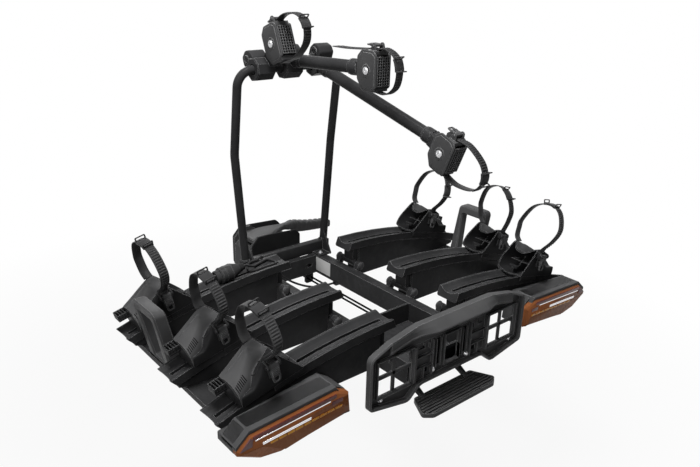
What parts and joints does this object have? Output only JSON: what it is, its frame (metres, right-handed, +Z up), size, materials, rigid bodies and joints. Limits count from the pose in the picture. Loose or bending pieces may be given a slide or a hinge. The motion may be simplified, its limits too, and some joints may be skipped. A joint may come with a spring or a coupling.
{
  "type": "tow ball bicycle rack",
  "caption": "Folding platform bicycle rack that clamps on a tow ball, with arched wheel trays, wheel holders with straps, a hoop with frame arms, rear lamps and a number plate holder.",
  "frame": {"origin": "centre of the tow ball", "axes": "+X to the right seen from behind the car, +Y towards the car, +Z up"},
  "size_m": [1.2453, 0.9383, 0.8777],
  "materials": {
    "metal": "satin black powder coat",
    "plastic": "grained charcoal moulding",
    "rubber": "flexible black strap and cable",
    "steel": "zinc plated",
    "lens": "amber and red moulded lens"
  },
  "bodies": {
    "coupling": {"coupling_housing": "plastic", "lever_pin": "steel"},
    "clamp_jaw": {"clamp_jaw": "metal"},
    "coupling_lever": {"coupling_lever": "plastic"},
    "platform": {"beam_left": "metal", "beam_right": "metal", "front_channel": "metal", "rear_bracket": "metal", "hoop": "metal", "plate_holder": "plastic", "tilt_pin": "steel", "cable_lead": "rubber"},
    "pedal": {"pedal": "plastic"},
    "release_rods": {"release_rods": "steel"},
    "wing_left": {"tray_left_1": "metal", "tray_left_2": "metal", "tray_left_3": "metal", "outer_bar_left": "metal", "handle_left": "plastic", "lamp_housing_left": "plastic", "lamp_lens_left": "lens", "plug": "rubber", "cable_hank": "rubber"},
    "holder_left_1": {"wheel_holder_left_1": "plastic", "wheel_strap_left_1": "rubber"},
    "ratchet_left_1": {"ratchet_lever_left_1": "plastic"},
    "holder_left_2": {"wheel_holder_left_2": "plastic", "wheel_strap_left_2": "rubber"},
    "ratchet_left_2": {"ratchet_lever_left_2": "plastic"},
    "holder_left_3": {"wheel_holder_left_3": "plastic", "wheel_strap_left_3": "rubber"},
    "ratchet_left_3": {"ratchet_lever_left_3": "plastic"},
    "wing_right": {"tray_right_1": "metal", "tray_right_2": "metal", "tray_right_3": "metal", "outer_bar_right": "metal", "handle_right": "plastic", "lamp_housing_right": "plastic", "lamp_lens_right": "lens"},
    "holder_right_1": {"wheel_holder_right_1": "plastic", "wheel_strap_right_1": "rubber"},
    "ratchet_right_1": {"ratchet_lever_right_1": "plastic"},
    "holder_right_2": {"wheel_holder_right_2": "plastic", "wheel_strap_right_2": "rubber"},
    "ratchet_right_2": {"ratchet_lever_right_2": "plastic"},
    "holder_right_3": {"wheel_holder_right_3": "plastic", "wheel_strap_right_3": "rubber"},
    "ratchet_right_3": {"ratchet_lever_right_3": "plastic"},
    "arm_1": {"arm_1": "metal"},
    "head_1": {"head_1": "plastic", "head_strap_1": "rubber"},
    "head_lever_1": {"head_lever_1": "plastic"},
    "arm_2": {"arm_2": "metal"},
    "head_2": {"head_2": "plastic", "head_strap_2": "rubber"},
    "head_lever_2": {"head_lever_2": "plastic"},
    "arm_3": {"arm_3": "metal"},
    "head_3": {"head_3": "plastic", "head_strap_3": "rubber"},
    "head_lever_3": {"head_lever_3": "plastic"}
  },
  "joints": [
    {"name": "lever_turn", "type": "hinge", "parent": "coupling", "child": "coupling_lever", "pos_m": [-0.062, 0, 0.08], "axis": [0, -1, 0], "range_deg": [0, 70]},
    {"name": "jaw_slide", "type": "slide", "parent": "coupling", "child": "clamp_jaw", "axis": [0, 1, 0], "range_m": [0, 0.006]},
    {"name": "platform_tilt", "type": "hinge", "parent": "coupling", "child": "platform", "pos_m": [0, -0.085, 0], "axis": [1, 0, 0], "range_deg": [0, 45]},
    {"name": "pedal_turn", "type": "hinge", "parent": "platform", "child": "pedal", "pos_m": [0, -0.735, -0.047], "axis": [1, 0, 0], "range_deg": [0, 15], "stiffness_Nm_per_rad": 4, "springref_deg": -20.05},
    {"name": "rod_slide", "type": "slide", "parent": "platform", "child": "release_rods", "axis": [0, 1, 0], "range_m": [0, 0.006]},
    {"name": "wing_left_fold", "type": "hinge", "parent": "platform", "child": "wing_left", "pos_m": [-0.14, -0.47, 0.0395], "axis": [0, 1, 0], "range_deg": [0, 90]},
    {"name": "holder_left_1_slide", "type": "hinge", "parent": "wing_left", "child": "holder_left_1", "pos_m": [-0.11, -0.2553, -1.415], "axis": [0, -1, 0], "range_deg": [-2.66, 0.71]},
    {"name": "ratchet_left_1_open", "type": "hinge", "parent": "holder_left_1", "child": "ratchet_left_1", "pos_m": [-0.50234, -0.3081, 0.12998], "axis": [-0.9682, 0, -0.2503], "range_deg": [0, 70]},
    {"name": "holder_left_2_slide", "type": "hinge", "parent": "wing_left", "child": "holder_left_2", "pos_m": [-0.11, -0.49, -1.415], "axis": [0, -1, 0], "range_deg": [-4, 3]},
    {"name": "ratchet_left_2_open", "type": "hinge", "parent": "holder_left_2", "child": "ratchet_left_2", "pos_m": [-0.48148, -0.5428, 0.13512], "axis": [-0.9714, 0, -0.2373], "range_deg": [0, 70]},
    {"name": "holder_left_3_slide", "type": "hinge", "parent": "wing_left", "child": "holder_left_3", "pos_m": [-0.11, -0.6902, -1.415], "axis": [0, -1, 0], "range_deg": [-4, 3]},
    {"name": "ratchet_left_3_open", "type": "hinge", "parent": "holder_left_3", "child": "ratchet_left_3", "pos_m": [-0.47731, -0.743, 0.13612], "axis": [-0.9721, 0, -0.2346], "range_deg": [0, 70]},
    {"name": "wing_right_fold", "type": "hinge", "parent": "platform", "child": "wing_right", "pos_m": [0.14, -0.47, 0.0395], "axis": [0, -1, 0], "range_deg": [0, 40]},
    {"name": "holder_right_1_slide", "type": "hinge", "parent": "wing_right", "child": "holder_right_1", "pos_m": [0.11, -0.2553, -1.415], "axis": [0, 1, 0], "range_deg": [-4, 2.28]},
    {"name": "ratchet_right_1_open", "type": "hinge", "parent": "holder_right_1", "child": "ratchet_right_1", "pos_m": [0.45854, -0.3081, 0.14044], "axis": [-0.9748, 0, 0.2229], "range_deg": [0, 70]},
    {"name": "holder_right_2_slide", "type": "hinge", "parent": "wing_right", "child": "holder_right_2", "pos_m": [0.11, -0.49, -1.415], "axis": [0, 1, 0], "range_deg": [-4, 0.7]},
    {"name": "ratchet_right_2_open", "type": "hinge", "parent": "holder_right_2", "child": "ratchet_right_2", "pos_m": [0.5305, -0.5428, 0.12255], "axis": [-0.9634, 0, 0.268], "range_deg": [0, 70]},
    {"name": "holder_right_3_slide", "type": "hinge", "parent": "wing_right", "child": "holder_right_3", "pos_m": [0.11, -0.6902, -1.415], "axis": [0, 1, 0], "range_deg": [-4, 3]},
    {"name": "ratchet_right_3_open", "type": "hinge", "parent": "holder_right_3", "child": "ratchet_right_3", "pos_m": [0.45437, -0.743, 0.14137], "axis": [-0.9754, 0, 0.2203], "range_deg": [0, 70]},
    {"name": "arm_1_swing", "type": "hinge", "parent": "platform", "child": "arm_1", "pos_m": [-0.099, -0.138, 0.635], "axis": [-1, 0, 0], "range_deg": [-60, 25]},
    {"name": "head_1_turn", "type": "hinge", "parent": "arm_1", "child": "head_1", "pos_m": [-0.074, -0.18994, 0.70702], "axis": [-1, 0, 0], "range_deg": [-25, 25]},
    {"name": "head_lever_1_open", "type": "hinge", "parent": "head_1", "child": "head_lever_1", "pos_m": [-0.074, -0.1794, 0.77049], "axis": [1, 0, 0], "range_deg": [0, 60]},
    {"name": "arm_2_swing", "type": "hinge", "parent": "platform", "child": "arm_2", "pos_m": [-0.005, -0.138, 0.635], "axis": [-1, 0, 0], "range_deg": [-45, 40]},
    {"name": "head_2_turn", "type": "hinge", "parent": "arm_2", "child": "head_2", "pos_m": [0.06, -0.423, 0.656], "axis": [-1, 0, 0], "range_deg": [-25, 12]},
    {"name": "head_lever_2_open", "type": "hinge", "parent": "head_2", "child": "head_lever_2", "pos_m": [0.06, -0.437, 0.7188], "axis": [1, 0, 0], "range_deg": [0, 60]},
    {"name": "arm_3_swing", "type": "hinge", "parent": "platform", "child": "arm_3", "pos_m": [0.099, -0.138, 0.635], "axis": [-1, 0, 0], "range_deg": [-20, 60]},
    {"name": "head_3_turn", "type": "hinge", "parent": "arm_3", "child": "head_3", "pos_m": [0.165, -0.60002, 0.45991], "axis": [-1, 0, 0], "range_deg": [-25, 25]},
    {"name": "head_lever_3_open", "type": "hinge", "parent": "head_3", "child": "head_lever_3", "pos_m": [0.165, -0.63653, 0.51289], "axis": [1, 0, 0], "range_deg": [0, 60]}
  ],
  "couplings": [
    {"joint": "jaw_slide", "follows": "lever_turn", "m_per_rad": 0.004911},
    {"joint": "rod_slide", "follows": "pedal_turn", "m_per_rad": 0.022918}
  ]
}
